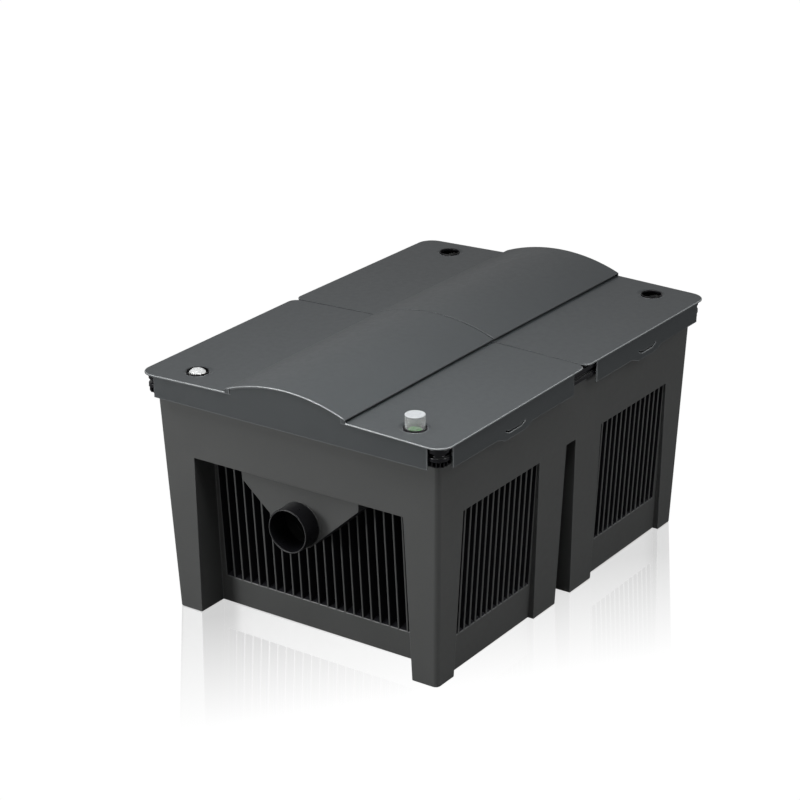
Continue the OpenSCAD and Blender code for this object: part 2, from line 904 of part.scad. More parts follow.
// Fixed grid that the foams are pressed against; its ears are screwed to the ledge
grid_z0 = foam_z1;
grid_z1 = foam_z1 + 6;
ear_z1 = ledge_z + 4;
ear_x = 244;
grid_x = 202;
module top_grid() {
    color(black)
        difference() {
            union() {
                span(-grid_x, grid_x, stage_y0, stage_y1, grid_z0, ear_z1);
                for (s = [-1, 1], y = grid_screw_ys)
                    span(min(s * (grid_x - 2), s * ear_x), max(s * (grid_x - 2), s * ear_x),
                         -y - 9, -y + 9, ledge_z, ear_z1);
            }
            span(-grid_x + 4, grid_x - 4, stage_y0 + 4, stage_y1 - 4, grid_z1, ear_z1 + 1);
            for (i = [-11 : 11])
                if (abs(abs(i * 16) - rod_x) > 15)
                    for (y = [stage_y0 + 10, stage_y + 4])
                        span(i * 16 - 5, i * 16 + 5, y, y + 62, grid_z0 - 1, grid_z1 + 1);
            at_rods()
                cylinder(r = 9, h = ear_z1 + 1);
            for (s = [-1, 1], y = grid_screw_ys)
                post(s * grid_screw_x, -y, screw_r + 0.3, ledge_z - 1, ear_z1 + 1);
        }
}

// Pan-head screw standing on z, with its shank down
module pan_screw(z, grip) {
    translate([0, 0, z])
        cylinder(r = 4.2, h = 2.6);
    translate([0, 0, z - grip])
        cylinder(r = screw_r, h = grip + 1);
}

module grid_screws() {
    color(steel)
        for (s = [-1, 1], y = grid_screw_ys)
            translate([s * grid_screw_x, -y, 0])
                pan_screw(ear_z1, ear_z1 - ledge_z + pilot_deep - 0.5);
}

module front_floor_grid() { floor_grid(); }
module rear_floor_grid() { mirror([0, 1, 0]) floor_grid(); }
module front_press_plate() { press_plate(); }
module rear_press_plate() { mirror([0, 1, 0]) press_plate(); }
module front_coarse_foam() { foam_block(0, blue_foam); }
module front_medium_foam() { foam_block(1, blue_foam); }
module front_fine_foam() { foam_block(2, red_foam); }
module rear_coarse_foam() { mirror([0, 1, 0]) foam_block(0, blue_foam); }
module rear_medium_foam() { mirror([0, 1, 0]) foam_block(1, red_foam); }
module rear_fine_foam() { mirror([0, 1, 0]) foam_block(2, red_foam); }
module front_pull_rods() { pull_rods(); }
module rear_pull_rods() { mirror([0, 1, 0]) pull_rods(); }
module front_rod_nuts() { rod_nuts(); }
module rear_rod_nuts() { mirror([0, 1, 0]) rod_nuts(); }
module front_pull_handle() { pull_handle(); }
module rear_pull_handle() { mirror([0, 1, 0]) pull_handle(); }
module front_top_grid() { top_grid(); }
module rear_top_grid() { mirror([0, 1, 0]) top_grid(); }
module front_grid_screws() { grid_screws(); }
module rear_grid_screws() { mirror([0, 1, 0]) grid_screws(); }

// ---------- Instruments under the two front holes ----------

stand_top = 391;
stand_r = 14.5;
stand_bore = 12.6;
plate_t = 4;
foot_x = [148, 224];
foot_y = [-358, -318];
// Foot and tube of an instrument stand; side is 1 at +X and -1 at -X
module stand_body(side, bore, top) {
    difference() {
        union() {
            span(min(side * foot_x), max(side * foot_x), foot_y[0], foot_y[1], ledge_z, ledge_z + plate_t);
            post(side * hole_x, -hole_y + 2, stand_r + 3, ledge_z, ledge_z + 10);
            post(side * hole_x, -hole_y, stand_r, ledge_z, top);
        }
        post(side * hole_x, -hole_y, bore, ledge_z - 1, top + 1);
        for (y = stand_screw_ys)
            post(side * stand_screw_x, -y, screw_r + 0.3, ledge_z - 1, ledge_z + plate_t + 1);
    }
}

// Guide tube of the dirt indicator, with windows that let the water in
module indicator_stand() {
    color(black)
        difference() {
            stand_body(1, stand_bore, stand_top);
            for (z = [300, 345])
                translate([hole_x, -hole_y, z])
                    cube([8, 2 * stand_r + 10, 24], center = true);
        }
}

flag_z0 = 391;
flag_z1 = 398.5;
flag_r = 10;
float_z0 = 282;
float_z1 = 312;
module indicator_float() {
    color(white)
        difference() {
            post(hole_x, -hole_y, stand_bore - 0.8, float_z0, float_z1);
            post(hole_x, -hole_y, screw_r - 0.5 + 0.05, float_z1 - 12, float_z1 + 1);
        }
}

module indicator_stem() {
    color(green) {
        post(hole_x, -hole_y, screw_r - 0.5, float_z1 - 11.5, flag_z0 + 1);
        post(hole_x, -hole_y, flag_r, flag_z0, flag_z1);
    }
}

// Clear cap of the indicator, plugged into its stand and standing above the lid
cap_r = 15;
cap_wall = 1.8;
cap_top = 420.5;
cap_round = 1.5;
plug_z0 = 380;
plug_r = stand_bore - 0.2;
module indicator_cap() {
    color(clear)
        difference() {
            union() {
                post(hole_x, -hole_y, cap_r, stand_top + 0.1, cap_top - cap_round);
                translate([hole_x, -hole_y, cap_top - cap_round])
                    cylinder(r1 = cap_r, r2 = cap_r - cap_round, h = cap_round);
                post(hole_x, -hole_y, plug_r, plug_z0, stand_top + 1);
            }
            post(hole_x, -hole_y, plug_r - cap_wall, plug_z0 - 1, stand_top + 3);
            post(hole_x, -hole_y, cap_r - cap_wall, stand_top + 2, cap_top - 2.5);
        }
}

module thermometer_stand() {
    color(black)
        stand_body(-1, stand_bore - 2, 384);
}

// Round case, clear dome, dial and pointer, from below to the top
case_r = 12.8;
case_z0 = 384.2;
case_z1 = 399.3;
case_floor = 396.5;
module thermometer_case() {
    color(white)
        difference() {
            union() {
                post(-hole_x, -hole_y, case_r, case_z0, case_z1);
                post(-hole_x, -hole_y, stand_bore - 2.1, case_z0 - 16, case_z0 + 1);
            }
            post(-hole_x, -hole_y, case_r - 1.4, case_floor, case_z1 + 1);
            post(-hole_x, -hole_y, 2.6, case_z0 - 20, case_z1);
        }
}

module thermometer_probe() {
    color(steel)
        post(-hole_x, -hole_y, 2.5, 280, case_floor - 1.5);
}

dial_t = 1;
module thermometer_dial() {
    color(white)
        difference() {
            post(-hole_x, -hole_y, case_r - 1.6, case_floor, case_floor + dial_t);
            post(-hole_x, -hole_y, 1, case_floor - 1, case_z1);
        }
}

needle_z = case_floor + dial_t + 0.6;
module thermometer_needle() {
    color(red_foam) {
        translate([-hole_x, -hole_y, needle_z])
            rotate([0, 0, 120])
                translate([-3, -0.6, 0])
                    cube([13, 1.2, 0.8]);
        post(-hole_x, -hole_y, 1.8, needle_z, needle_z + 1.4);
        post(-hole_x, -hole_y, 0.8, case_floor - 1, needle_z + 0.5);
    }
}

lens_r = 17.3;
lens_top = 405;
module thermometer_lens() {
    color(clear)
        difference() {
            intersection() {
                post(-hole_x, -hole_y, case_r, case_z1 + 0.05, lens_top + 1);
                translate([-hole_x, -hole_y, lens_top - lens_r])
                    sphere(r = lens_r);
            }
            intersection() {
                post(-hole_x, -hole_y, case_r - 1.4, case_z1 - 1, lens_top + 1);
                translate([-hole_x, -hole_y, lens_top - lens_r])
                    sphere(r = lens_r - 1.4);
            }
        }
}

module stand_screws() {
    color(steel)
        for (side = [-1, 1], y = stand_screw_ys)
            translate([side * stand_screw_x, -y, 0])
                pan_screw(ledge_z + plate_t, plate_t + pilot_deep - 0.5);
}

// ---------- Drain valves on the -X side, one for each basin ----------

gasket_t = 1.5;
gasket_r = 27;
flange_r = 25;
body_x0 = pad_x + gasket_t;
body_x1 = 258;
body_half = 31;
body_z0 = 3;
body_z1 = 62;
gate_x0 = 247;
gate_x1 = 251;
gate_half = 20;
gate_z0 = drain_z - drain_r - 3;
gate_play = 0.4;
gate_top = 66;
nut_outer = 26;
cover_t = 5;
spout_r = 18;
spout_end = 276;
cover_screw_y = 26;
cover_screw_zs = [9, 55];

module drain_gaskets() {
    color(black)
        on_both_ends()
            difference() {
                rod_along_x(drain_y, drain_z, gasket_r, -body_x0, -pad_x);
                rod_along_x(drain_y, drain_z, spigot_r + 0.2, -body_x0 - 1, -pad_x + 1);
            }
}

// Six-sided nuts inside the basins
module drain_lock_nuts() {
    color(black)
        on_both_ends()
            difference() {
                translate([-pad_inner_x, drain_y, drain_z])
                    rotate([0, 90, 0])
                        cylinder(r = nut_outer - 1, h = 8, $fn = 6);
                rod_along_x(drain_y, drain_z, spigot_r + 0.05, -pad_inner_x - 1, -pad_inner_x + 12);
            }
}

module drain_body() {
    color(black)
        difference() {
            union() {
                span(-body_x1, -body_x0 - 3, drain_y - body_half, drain_y + body_half, body_z0, body_z1);
                rod_along_x(drain_y, drain_z, flange_r, -body_x0 - 4, -body_x0);
                rod_along_x(drain_y, drain_z, spigot_r, -body_x0 - 1, -pad_inner_x + 11);
            }
            rod_along_x(drain_y, drain_z, drain_r, -body_x1 - 1, -pad_inner_x + 12);
            span(-gate_x1 - gate_play, -gate_x0 + gate_play, drain_y - gate_half - gate_play,
                 drain_y + gate_half + gate_play, gate_z0 - gate_play, body_z1 + 1);
            for (s = [-1, 1], z = cover_screw_zs)
                rod_along_x(drain_y + s * cover_screw_y, z, pilot_r, -body_x1 - 1, -gate_x1 - 0.5);
        }
}

// Blade with a pull bar on top
bar_out = 4;
bar_h = 12;
module drain_gate() {
    color(red_foam) {
        span(-gate_x1, -gate_x0, drain_y - gate_half, drain_y + gate_half, gate_z0, gate_top + 1);
        difference() {
            span(-gate_x1 - bar_out, -gate_x0 + bar_out, drain_y - gate_half - bar_out,
                 drain_y + gate_half + bar_out, gate_top, gate_top + bar_h);
            rod_along_x(drain_y, gate_top + bar_h / 2, 3.5, -gate_x1 - 5, -gate_x0 + 5);
        }
    }
}

module drain_cover() {
    color(black)
        difference() {
            union() {
                span(-body_x1 - cover_t, -body_x1, drain_y - body_half, drain_y + body_half,
                     body_z0, body_z1);
                rod_along_x(drain_y, drain_z, spout_r, -spout_end, -body_x1 - cover_t + 1);
            }
            rod_along_x(drain_y, drain_z, drain_r, -spout_end - 1, -body_x1 + 1);
            for (s = [-1, 1], z = cover_screw_zs)
                rod_along_x(drain_y + s * cover_screw_y, z, screw_r + 0.3,
                            -body_x1 - cover_t - 1, -body_x1 + 1);
        }
}

module drain_screws() {
    color(steel)
        on_both_ends()
            for (s = [-1, 1], z = cover_screw_zs) {
                rod_along_x(drain_y + s * cover_screw_y, z, screw_r,
                            -body_x1 - cover_t - 1, -gate_x1 - 1);
                rod_along_x(drain_y + s * cover_screw_y, z, 3.8,
                            -body_x1 - cover_t - 2.4, -body_x1 - cover_t);
            }
}

module front_drain_body() { mirror([0, 1, 0]) drain_body(); }
module rear_drain_body() { drain_body(); }
module front_drain_gate() { mirror([0, 1, 0]) drain_gate(); }
module rear_drain_gate() { drain_gate(); }
module front_drain_cover() { mirror([0, 1, 0]) drain_cover(); }
module rear_drain_cover() { drain_cover(); }

tub();
front_lid();
rear_lid();
inlet_baffle();
outlet_screen();
media_basket();
bio_media();
front_floor_grid();
rear_floor_grid();
front_press_plate();
rear_press_plate();
front_coarse_foam();
front_medium_foam();
front_fine_foam();
rear_coarse_foam();
rear_medium_foam();
rear_fine_foam();
front_pull_rods();
rear_pull_rods();
front_rod_nuts();
rear_rod_nuts();
front_pull_handle();
rear_pull_handle();
front_top_grid();
rear_top_grid();
front_grid_screws();
rear_grid_screws();
indicator_stand();
indicator_float();
indicator_stem();
indicator_cap();
thermometer_stand();
thermometer_case();
thermometer_probe();
thermometer_dial();
thermometer_needle();
thermometer_lens();
stand_screws();
drain_gaskets();
drain_lock_nuts();
front_drain_body();
rear_drain_body();
front_drain_gate();
rear_drain_gate();
front_drain_cover();
rear_drain_cover();
drain_screws();
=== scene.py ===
"""Looks of the pond filter box: edges, foams, media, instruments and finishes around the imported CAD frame."""
import json
import math
import random

import bmesh
import bpy
from mathutils import Matrix, Vector
from mathutils.geometry import delaunay_2d_cdt


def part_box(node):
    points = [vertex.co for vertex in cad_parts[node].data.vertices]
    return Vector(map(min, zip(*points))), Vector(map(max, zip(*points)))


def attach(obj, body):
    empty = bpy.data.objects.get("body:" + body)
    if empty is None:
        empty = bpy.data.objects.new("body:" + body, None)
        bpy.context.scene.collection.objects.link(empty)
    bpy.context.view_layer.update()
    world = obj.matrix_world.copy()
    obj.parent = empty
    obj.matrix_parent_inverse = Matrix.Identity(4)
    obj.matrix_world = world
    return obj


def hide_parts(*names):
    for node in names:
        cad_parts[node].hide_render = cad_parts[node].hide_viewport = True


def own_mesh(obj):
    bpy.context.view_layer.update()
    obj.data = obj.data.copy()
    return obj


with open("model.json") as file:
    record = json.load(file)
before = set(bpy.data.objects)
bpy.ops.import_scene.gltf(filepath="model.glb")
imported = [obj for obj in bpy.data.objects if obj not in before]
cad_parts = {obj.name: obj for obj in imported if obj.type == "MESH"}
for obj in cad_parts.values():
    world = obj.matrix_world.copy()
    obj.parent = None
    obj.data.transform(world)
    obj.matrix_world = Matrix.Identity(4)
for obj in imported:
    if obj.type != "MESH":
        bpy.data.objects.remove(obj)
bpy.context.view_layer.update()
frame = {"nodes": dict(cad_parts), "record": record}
MM = 0.001
RECORD = frame["record"]
SLOT_OF = {part["node"]: part["material_slot"] for part in RECORD["subparts"]}
BODY_OF = {node: body for body, nodes in RECORD["behaviour"]["bodies"].items() for node in nodes}


# ---------- Camera, floor and lights ----------

def make_camera():
    """The camera stands to the right of the inlet end and looks down on the box."""
    azimuth, elevation, roll = math.radians(34.77), math.radians(21.85), math.radians(-0.36)
    target, distance = Vector((-0.1004, 0.0497, 0.2439)), 3.86
    turn = (Matrix.Rotation(azimuth, 4, "Z") @ Matrix.Rotation(math.pi / 2 - elevation, 4, "X")
            @ Matrix.Rotation(roll, 4, "Z"))
    place = target + turn.to_3x3() @ Vector((0, 0, distance))
    camera = bpy.data.objects.new("camera", bpy.data.cameras.new("camera"))
    camera.data.sensor_width = 36
    camera.data.lens = 106.4
    camera.data.clip_end = 60
    camera.matrix_world = Matrix.Translation(place) @ turn
    bpy.context.scene.collection.objects.link(camera)
    bpy.context.scene.camera = camera


# The world's strength: in the light it sheds, in polished surfaces, and where the camera sees it
WORLD_LIGHT, MIRRORED_LIGHT, SEEN_LIGHT = 0.13, 0.32, 1.01
# The floor is polished between the two fades, measured along this level direction from the box's middle
POLISH_ALONG = (0.79, -0.613, 0)
POLISH_FADES = ((0.08, 0.42), (-0.25, -0.6))
MIRROR_GAIN = 1.25
FLOOR_BOUNCE = 0.15
FLOOR_HALF, FLOOR_DROP = 14, 0.5 * MM


def make_floor():
    """A white floor. The camera sees it glow evenly and mirror the box where it is polished; other rays
    meet a plain matt floor. The polish fades both ways along a fixed direction in the floor."""
    half = FLOOR_HALF
    corners = [(-half, -half, 0), (half, -half, 0), (half, half, 0), (-half, half, 0)]
    mesh = bpy.data.meshes.new("floor")
    mesh.from_pydata(corners, [], [(0, 1, 2, 3)])
    floor = bpy.data.objects.new("floor", mesh)
    floor.location.z = -FLOOR_DROP
    bpy.context.scene.collection.objects.link(floor)
    material = bpy.data.materials.new("studio_floor")
    material.use_nodes = True
    nodes, links = material.node_tree.nodes, material.node_tree.links
    nodes.clear()

    def node(kind, **values):
        made = nodes.new(kind)
        for key, value in values.items():
            if key in made.inputs:
                made.inputs[key].default_value = value
            else:
                setattr(made, key, value)
        return made

    along = node("ShaderNodeVectorMath", operation="DOT_PRODUCT")
    links.new(node("ShaderNodeTexCoord").outputs["Object"], along.inputs[0])
    along.inputs[1].default_value = POLISH_ALONG
    fades = []
    for start, end in POLISH_FADES:
        fade = node("ShaderNodeMapRange")
        for key, number in (("From Min", start), ("From Max", end), ("To Min", 1.0), ("To Max", 0.0)):
            fade.inputs[key].default_value = number
        links.new(along.outputs["Value"], fade.inputs["Value"])
        fades.append(fade.outputs["Result"])
    polish = node("ShaderNodeMath", operation="MULTIPLY")
    links.new(fades[0], polish.inputs[0])
    links.new(fades[1], polish.inputs[1])
    white = node("ShaderNodeEmission", Strength=SEEN_LIGHT)
    mirror = node("ShaderNodeBsdfGlossy", Roughness=0.04, Color=(MIRROR_GAIN, MIRROR_GAIN, MIRROR_GAIN, 1))
    shown = node("ShaderNodeMixShader")
    links.new(polish.outputs[0], shown.inputs["Fac"])
    links.new(white.outputs[0], shown.inputs[1])
    links.new(mirror.outputs[0], shown.inputs[2])
    # What the mirror misses of full white, since the room it reflects is dimmer than that
    lift = node("ShaderNodeMath", operation="MULTIPLY")
    links.new(polish.outputs[0], lift.inputs[0])
    lift.inputs[1].default_value = SEEN_LIGHT - MIRROR_GAIN * MIRRORED_LIGHT
    lifting = node("ShaderNodeEmission")
    links.new(lift.outputs[0], lifting.inputs["Strength"])
    seen = node("ShaderNodeAddShader")
    links.new(shown.outputs[0], seen.inputs[0])
    links.new(lifting.outputs[0], seen.inputs[1])
    matt = node("ShaderNodeBsdfDiffuse", Color=(FLOOR_BOUNCE, FLOOR_BOUNCE, FLOOR_BOUNCE, 1))
    switch = node("ShaderNodeMixShader")
    links.new(node("ShaderNodeLightPath").outputs["Is Camera Ray"], switch.inputs["Fac"])
    links.new(matt.outputs[0], switch.inputs[1])
    links.new(seen.outputs[0], switch.inputs[2])
    links.new(switch.outputs[0], node("ShaderNodeOutputMaterial").inputs["Surface"])
    floor.data.materials.append(material)


# Each light: name, place, aim, size, power
LIGHTS = [
    ("overhead", (-0.3, -1.0, 2.4), (0.0, -0.2, 0.4), (1.6, 1.2), 8),
    ("near_top", (0.3, -0.46, 1.15), (0.15, -0.3, 0.42), (0.5, 0.4), 10),
    ("key", (-1.35, -2.65, 0.6), (-0.05, -0.35, 0.2), (0.7, 0.6), 36),
    ("left_low", (-1.8, -2.35, 0.45), (-0.1, -0.35, 0.15), (1.0, 0.5), 10),
    ("front_flat", (-0.3, -3.0, 0.5), (-0.1, -0.3, 0.2), (0.8, 0.6), 5),
    ("right_flat", (2.6, 0.4, 0.6), (0.25, 0.1, 0.2), (1.2, 0.6), 18),
    ("right_high", (1.6, 0.3, 1.8), (0.2, 0.1, 0.35), (1.0, 0.8), 7),
    ("edge_strip", (-1.2, -1.25, 2.1), (0, -0.3, 0.4), (1.8, 0.25), 22),
    ("rear_fill", (1.2, 3.2, 1.7), (0, 0.2, 0.2), (1.6, 1.2), 5),
]


def make_world():
    """A white room, dim in the light it sheds, brighter in polished surfaces and full white to the eye."""
    world = bpy.data.worlds.new("studio")
    bpy.context.scene.world = world
    world.use_nodes = True
    tree = world.node_tree
    background = tree.nodes["Background"]
    background.inputs["Color"].default_value = (1, 1, 1, 1)
    rays = tree.nodes.new("ShaderNodeLightPath")
    strength = None
    for ray, light in (("Is Glossy Ray", MIRRORED_LIGHT), ("Is Camera Ray", SEEN_LIGHT)):
        more = tree.nodes.new("ShaderNodeMath")
        more.operation = "MULTIPLY_ADD"
        tree.links.new(rays.outputs[ray], more.inputs[0])
        more.inputs[1].default_value = light - WORLD_LIGHT
        if strength:
            tree.links.new(strength.outputs[0], more.inputs[2])
        else:
            more.inputs[2].default_value = WORLD_LIGHT
        strength = more
    tree.links.new(strength.outputs[0], background.inputs["Strength"])


def make_lights():
    make_world()
    for name, place, aim, size, power in LIGHTS:
        data = bpy.data.lights.new(name, "AREA")
        data.shape = "RECTANGLE"
        data.size, data.size_y = size
        data.energy = power
        light = bpy.data.objects.new(name, data)
        light.location = place
        light.rotation_euler = (Vector(aim) - Vector(place)).to_track_quat("-Z", "Y").to_euler()
        bpy.context.scene.collection.objects.link(light)
    bpy.context.scene.view_settings.view_transform = "Standard"


# ---------- Materials ----------

MATERIALS = {}


class Paint:
    """Builds one node material around a Principled shader."""

    def __init__(self, name, colour, rough):
        self.slot = name
        self.material = bpy.data.materials.new(name)
        self.material.use_nodes = True
        self.tree = self.material.node_tree
        self.shader = self.tree.nodes["Principled BSDF"]
        self.place = self.tree.nodes.new("ShaderNodeTexCoord").outputs["Object"]
        self.set("Base Color", (*colour, 1))
        self.set("Roughness", rough)

    def set(self, socket, value):
        self.shader.inputs[socket].default_value = value

    def link(self, output, socket):
        self.tree.links.new(output, socket)

    def node(self, kind, **values):
        made = self.tree.nodes.new(kind)
        for key, value in values.items():
            if key in made.inputs:
                made.inputs[key].default_value = value
            else:
                setattr(made, key, value)
        return made

    def noise(self, size, detail=3.0, stretch=None):
        """Noise whose grains are about that many metres across."""
        source = self.place
        if stretch:
            mapping = self.node("ShaderNodeMapping")
            mapping.inputs["Scale"].default_value = stretch
            self.link(source, mapping.inputs["Vector"])
            source = mapping.outputs["Vector"]
        made = self.node("ShaderNodeTexNoise", Scale=1 / size, Detail=detail)
        self.link(source, made.inputs["Vector"])
        return made.outputs["Fac"]

    def ramp(self, value, low, high, a, b):
        """Maps a value from low..high to a..b."""
        made = self.node("ShaderNodeMapRange")
        for key, number in (("From Min", low), ("From Max", high), ("To Min", a), ("To Max", b)):
            made.inputs[key].default_value = number
        self.link(value, made.inputs["Value"])
        return made.outputs["Result"]

    def mix(self, factor, a, b):
        """Mixes two colours by a factor and returns the result."""
        made = self.node("ShaderNodeMix", data_type="RGBA")
        self.link(factor, made.inputs["Factor"])
        for socket, value in ((made.inputs[6], a), (made.inputs[7], b)):
            if hasattr(value, "links"):
                self.link(value, socket)
            else:
                socket.default_value = (*value, 1)
        return made.outputs[2]

    def bump(self, height, strength, depth, under=None):
        made = self.node("ShaderNodeBump", Strength=strength, Distance=depth)
        self.link(height, made.inputs["Height"])
        if under is not None:
            self.link(under, made.inputs["Normal"])
        return made.outputs["Normal"]

    def finish(self):
        MATERIALS[self.slot] = self.material


def scaled(colour, factor):
    return tuple(min(1.0, c * factor) for c in colour)


def moulded(name, colour, rough, specular=0.5, grain=0.0005, depth=0.00003, vary=0.05):
    """Moulded plastic: spark-eroded grain, faint long flow lines and slightly uneven gloss."""
    paint = Paint(name, colour, rough)
    paint.set("Specular IOR Level", specular)
    flow = paint.ramp(paint.noise(0.05, 3.0, stretch=(1, 0.35, 1)), 0.3, 0.7, 0.0, 1.0)
    fleck = paint.ramp(paint.noise(0.0016, 2.0), 0.35, 0.65, 0.0, 1.0)
    even = paint.mix(flow, scaled(colour, 1 - vary / 2), scaled(colour, 1 + vary / 2))
    speckled = paint.node("ShaderNodeMix", data_type="RGBA", blend_type="MULTIPLY")
    speckled.inputs["Factor"].default_value = 1.0
    paint.link(even, speckled.inputs[6])
    paint.link(paint.mix(fleck, (1 - vary,) * 3, (1, 1, 1)), speckled.inputs[7])
    paint.link(speckled.outputs[2], paint.shader.inputs["Base Color"])
    paint.link(paint.ramp(paint.noise(0.01, 4.0), 0.3, 0.7, rough - 0.03, rough + 0.03),
               paint.shader.inputs["Roughness"])
    paint.link(paint.bump(paint.noise(grain, 2.0), 0.5, depth), paint.shader.inputs["Normal"])
    paint.finish()


def foam_paint(name, colour, cell):
    """Open-cell foam: pale struts, with painted shade darkening the pores between them."""
    paint = Paint(name, colour, 0.95)
    pores = paint.node("ShaderNodeTexVoronoi", Scale=1 / cell, feature="F1")
    paint.link(paint.place, pores.inputs["Vector"])
    # Painted shade in the pores; the same pattern also gives their bump
    depth = paint.ramp(pores.outputs["Distance"], 0.15, 0.6, 0.0, 1.0)
    clouds = paint.ramp(paint.noise(0.03), 0.3, 0.7, 0.0, 1.0)
    lit = paint.mix(clouds, scaled(colour, 0.85), scaled(colour, 1.15))
    paint.link(paint.mix(depth, scaled(colour, 0.22), lit), paint.shader.inputs["Base Color"])
    paint.link(paint.bump(depth, 0.8, cell * 0.5), paint.shader.inputs["Normal"])
    paint.set("Sheen Weight", 0.15)
    paint.finish()


def steel_paint():
    paint = Paint("steel", (0.62, 0.63, 0.65), 0.28)
    paint.set("Metallic", 1.0)
    brushed = paint.noise(0.0006, 3.0, stretch=(1, 1, 0.04))
    paint.link(paint.ramp(brushed, 0.3, 0.7, 0.2, 0.38), paint.shader.inputs["Roughness"])
    paint.link(paint.bump(brushed, 0.25, 0.00003), paint.shader.inputs["Normal"])
    paint.finish()


def clear_paint(name, colour, rough, through):
    """Frosted or milky plastic that lets the given share of the light through."""
    paint = Paint(name, colour, rough)
    paint.set("Transmission Weight", through)
    paint.set("IOR", 1.49)
    paint.link(paint.bump(paint.noise(0.02, 2.0), 0.15, 0.0004), paint.shader.inputs["Normal"])
    paint.finish()


def make_materials():
    moulded("tub_plastic", (0.0655, 0.0675, 0.0665), 0.46, 0.4)
    moulded("lid_plastic", (0.044, 0.0485, 0.051), 0.34, 0.42)
    # Lighter edge materials: painted highlights on the rounded edges
    moulded("tub_edge_painted_highlight", (0.09, 0.0925, 0.0925), 0.34, 0.5)
    moulded("lid_edge_painted_highlight", (0.16, 0.17, 0.175), 0.22, 0.8)
    # Painted shade: near black in the tub's slots behind the fins
    moulded("slot_painted_shade", (0.014, 0.014, 0.017), 0.5, 0.25)
    # Glossy finish; its near-black colour is painted shade under the lids' overhang
    moulded("rim_gloss_painted_shade", (0.007, 0.007, 0.009), 0.14, 0.5)
    # Painted shade: black on the stubs and on the collars round the lid holes
    moulded("painted_shade_black", (0.005, 0.005, 0.006), 0.3, 0.22)
    moulded("black_plastic", (0.008, 0.008, 0.009), 0.4, 0.3)
    moulded("red_plastic", (0.42, 0.03, 0.02), 0.32)
    moulded("white_plastic", (0.8, 0.8, 0.77), 0.28, vary=0.02)
    moulded("green_plastic", (0.22, 0.72, 0.16), 0.2)
    moulded("rubber", (0.016, 0.016, 0.016), 0.72, vary=0.08)
    foam_paint("blue_foam", (0.045, 0.13, 0.42), 0.0035)
    foam_paint("red_foam", (0.4, 0.055, 0.035), 0.0022)
    steel_paint()
    clear_paint("frosted_side", (0.86, 0.88, 0.87), 0.16, 0.84)
    clear_paint("frosted_top", (0.36, 0.375, 0.385), 0.3, 0.1)
    clear_paint("milky_dome", (0.5, 0.51, 0.51), 0.1, 0.15)


# ---------- Mesh helpers ----------

def piece(name, mesh, body, slot, replaced=(), material=None):
    """Puts a mesh in the scene as a piece that rides on a body."""
    made = bpy.data.objects.new(name, mesh)
    bpy.context.scene.collection.objects.link(made)
    made.data.materials.clear()
    made.data.materials.append(material or MATERIALS[slot])
    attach(made, body)
    if replaced:
        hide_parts(*replaced)
    return made


def applied(source, modifiers):
    """The source object's mesh with modifiers run over it; each is (kind, settings)."""
    for kind, settings in modifiers:
        modifier = source.modifiers.new(kind.lower(), kind)
        for key, value in settings.items():
            setattr(modifier, key, value)
    depsgraph = bpy.context.evaluated_depsgraph_get()
    mesh = bpy.data.meshes.new_from_object(source.evaluated_get(depsgraph), depsgraph=depsgraph)
    return mesh


# Edges sharper than this, in degrees, are rounded
SHARP = 32
STRAIGHT_ON = math.cos(math.radians(40))
# Faces that lie within this angle and come to this area together are a flat plate, and shade as one
FLAT_ANGLE, PLATE_AREA = math.radians(0.15), 4000 * MM * MM


def room_beside(edge, end, sharp):
    """How wide a rounding the mesh has room for at one end of an edge."""
    away = (edge.other_vert(end).co - end.co).normalized()
    room = edge.calc_length() if edge.calc_length() < 0.4 * MM else 1.0
    for other in end.link_edges:
        if other is edge:
            continue
        along = (other.other_vert(end).co - end.co).normalized()
        across = math.sqrt(max(0.0, 1 - along.dot(away) ** 2))
        if along.dot(away) < -STRAIGHT_ON:
            continue
        share = 0.45 if any(e in sharp and e is not other for e in other.other_vert(end).link_edges) else 0.9
        room = min(room, other.calc_length() * across * share)
    return room


def refilled(work, face, layer):
    """Fills a many-sided face again with triangles that keep to its outline, slits and holes included."""
    normal, origin = face.normal.copy(), face.verts[0].co.copy()
    across = normal.orthogonal().normalized()
    along = normal.cross(across)
    corners = list(face.verts)
    flat = [Vector(((v.co - origin).dot(across), (v.co - origin).dot(along))) for v in corners]
    sides = [(i, (i + 1) % len(flat)) for i in range(len(flat))]
    points, _, triangles, sources, _, _ = delaunay_2d_cdt(flat, sides, [], 0, 1e-7)
    made = [corners[source[0]] if source else work.verts.new(origin + across * point.x + along * point.y)
            for point, source in zip(points, sources)]
    smooth, slot = face.smooth, face.material_index
    bmesh.ops.delete(work, geom=[face], context="FACES_ONLY")
    for triangle in triangles:
        centre = sum((points[i] for i in triangle), Vector((0, 0))) / 3
        crossings = 0
        for i, j in sides:
            a, b = flat[i], flat[j]
            if (a.y > centre.y) != (b.y > centre.y):
                crossings += centre.x < a.x + (centre.y - a.y) / (b.y - a.y) * (b.x - a.x)
        trio = [made[i] for i in triangle]
        if crossings % 2 and len(set(trio)) == 3 and not work.faces.get(trio):
            new = work.faces.new(trio)
            new.smooth, new.material_index = smooth, slot
            new.normal_update()
            if new.normal.dot(normal) < 0:
                new.normal_flip()
            for loop in new.loops:
                loop[layer] = normal


def flat_plates(work):
    """The faces that make up broad flat plates."""
    plates, seen = set(), set()
    for first in work.faces:
        if first in seen:
            continue
        seen.add(first)
        plate, rest = [first], [first]
        while rest:
            for edge in rest.pop().edges:
                for face in edge.link_faces:
                    if face not in seen and face.normal.angle(first.normal, math.pi) < FLAT_ANGLE:
                        seen.add(face)
                        plate.append(face)
                        rest.append(face)
        if sum(face.calc_area() for face in plate) > PLATE_AREA:
            plates.update(plate)
    return plates


